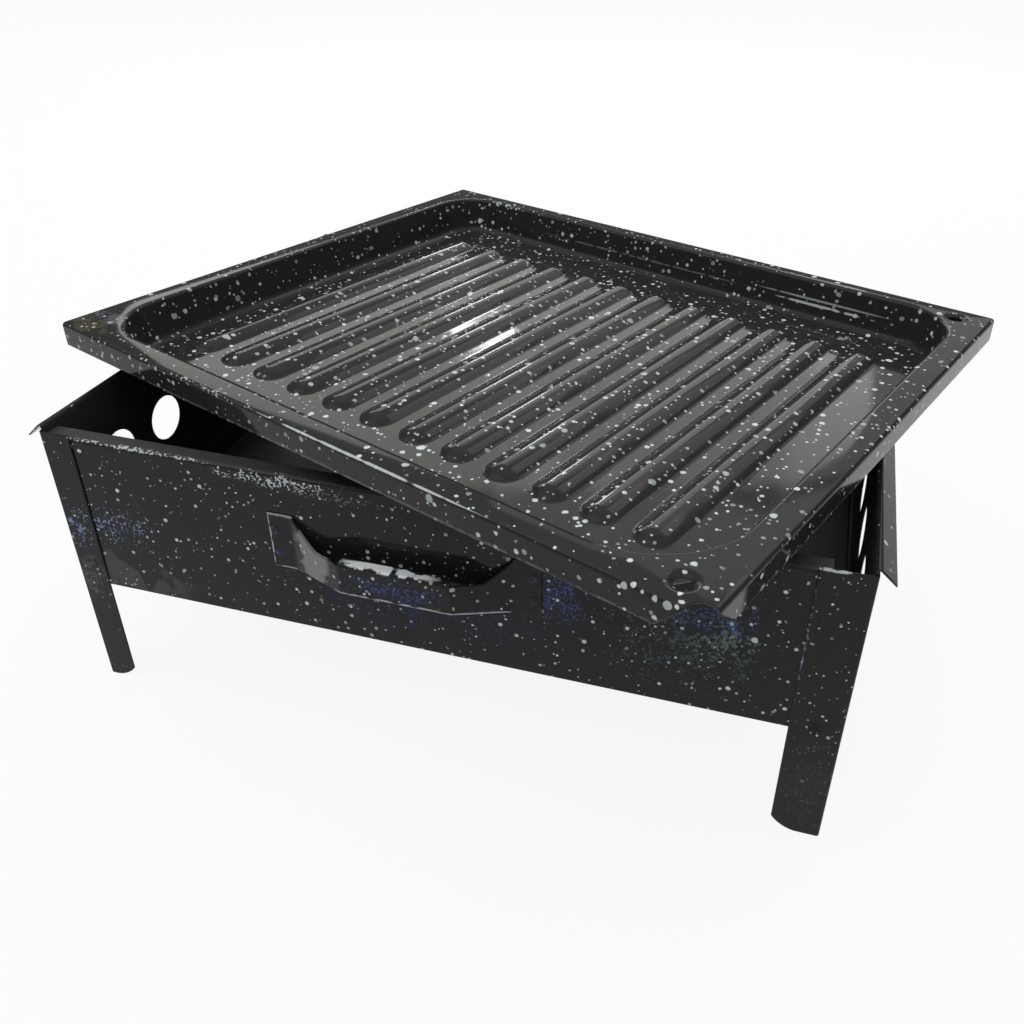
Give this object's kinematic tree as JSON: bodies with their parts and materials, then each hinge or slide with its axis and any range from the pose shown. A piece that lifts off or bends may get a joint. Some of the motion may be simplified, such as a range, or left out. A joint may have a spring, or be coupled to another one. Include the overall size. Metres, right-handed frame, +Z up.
{
  "type": "tabletop brazier grill",
  "caption": "Open rectangular firebox of speckled black enamelled sheet steel on corner legs, with strap handles, round air holes in its ends and a loose ribbed griddle tray lying askew on top.",
  "frame": {"origin": "on the floor, under the middle of the whole outline; the firebox's own middle is 12 mm to the left of it and 3 mm behind it", "axes": "+Z up; the front wall with its handle faces -Y; the firebox's long side and its ribbed tray's long side run roughly along X, the tray turned 21 degrees clockwise seen from above"},
  "size_m": [0.4904, 0.4452, 0.186],
  "materials": {
    "firebox_enamel": "gloss black vitreous enamel with sparse white speckles",
    "leg_enamel": "gloss black vitreous enamel, duller towards the feet",
    "handle_enamel": "gloss black vitreous enamel with sparse white speckles",
    "tray_enamel": "gloss black vitreous enamel with dense white speckles"
  },
  "bodies": {
    "firebox": {"front_wall": "firebox_enamel", "back_wall": "firebox_enamel", "left_end_wall": "firebox_enamel", "right_end_wall": "firebox_enamel", "firebox_floor": "firebox_enamel", "front_left_leg": "leg_enamel", "front_right_leg": "leg_enamel", "back_right_leg": "leg_enamel", "back_left_leg": "leg_enamel", "front_handle": "handle_enamel", "back_handle": "handle_enamel"},
    "griddle": {"griddle_tray": "tray_enamel"}
  },
  "joints": [
    {"name": "tray_lift", "type": "slide", "parent": "firebox", "child": "griddle", "axis": [0, 0, 1], "range_m": [0, 0.25]}
  ]
}
